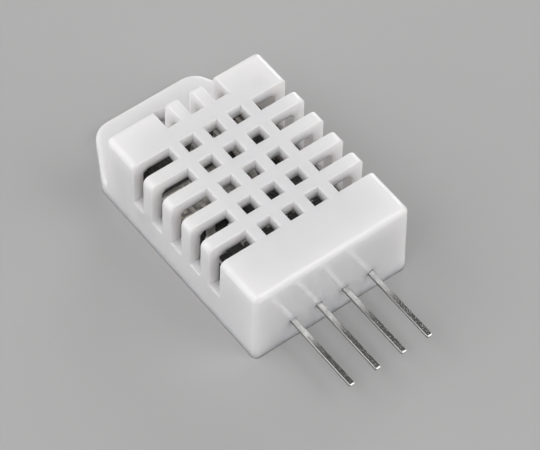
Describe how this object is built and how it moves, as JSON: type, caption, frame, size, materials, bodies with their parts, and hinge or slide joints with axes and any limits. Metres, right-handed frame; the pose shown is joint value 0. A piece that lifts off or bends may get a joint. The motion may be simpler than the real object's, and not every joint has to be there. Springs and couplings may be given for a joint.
{
  "type": "temperature humidity sensor module",
  "caption": "Small white plug-in sensor module: snap-together grille housing with a mounting ear, sensing plate and thermistor on a board, and flat terminal pins.",
  "frame": {"origin": "centre of the housing's back face, the mounting ear left out", "axes": "+X to the right seen from the front with the ear up, +Y towards the mounting ear, away from the terminal pins, +Z out of the back face up through the grille roof"},
  "size_m": [0.0152, 0.0325, 0.0077],
  "materials": {
    "housing_plastic": "satin",
    "board_laminate": "satin",
    "copper": "satin",
    "tinned_metal": "polished",
    "matt_tin": "satin",
    "solder": "polished",
    "ceramic": "matte",
    "comb_metal": "satin",
    "sensing_film": "gloss",
    "foam": "matte",
    "sleeve_glass": "gloss",
    "chip_plastic": "matte",
    "resistor_body": "matte",
    "capacitor_body": "matte"
  },
  "bodies": {
    "root": {"front_cover": "housing_plastic", "back_cover": "housing_plastic", "circuit_board": "board_laminate", "terminal_pads": "copper", "terminal_pin_ground": "tinned_metal", "terminal_pin_spare": "tinned_metal", "terminal_pin_data": "tinned_metal", "terminal_pin_power": "tinned_metal", "pin_solder_joints": "solder", "sensor_spacer": "foam", "sensor_substrate": "ceramic", "sensor_comb_left": "comb_metal", "sensor_comb_right": "comb_metal", "humidity_film": "sensing_film", "sensor_lead_left": "matt_tin", "sensor_lead_right": "matt_tin", "sensor_lead_joints": "solder", "thermistor_sleeve": "sleeve_glass", "thermistor_leads": "tinned_metal", "controller_chip": "chip_plastic", "controller_leads": "matt_tin", "resistor_bodies": "resistor_body", "resistor_ends": "matt_tin", "capacitor_bodies": "capacitor_body", "capacitor_ends": "matt_tin", "component_joints": "solder"}
  },
  "joints": []
}
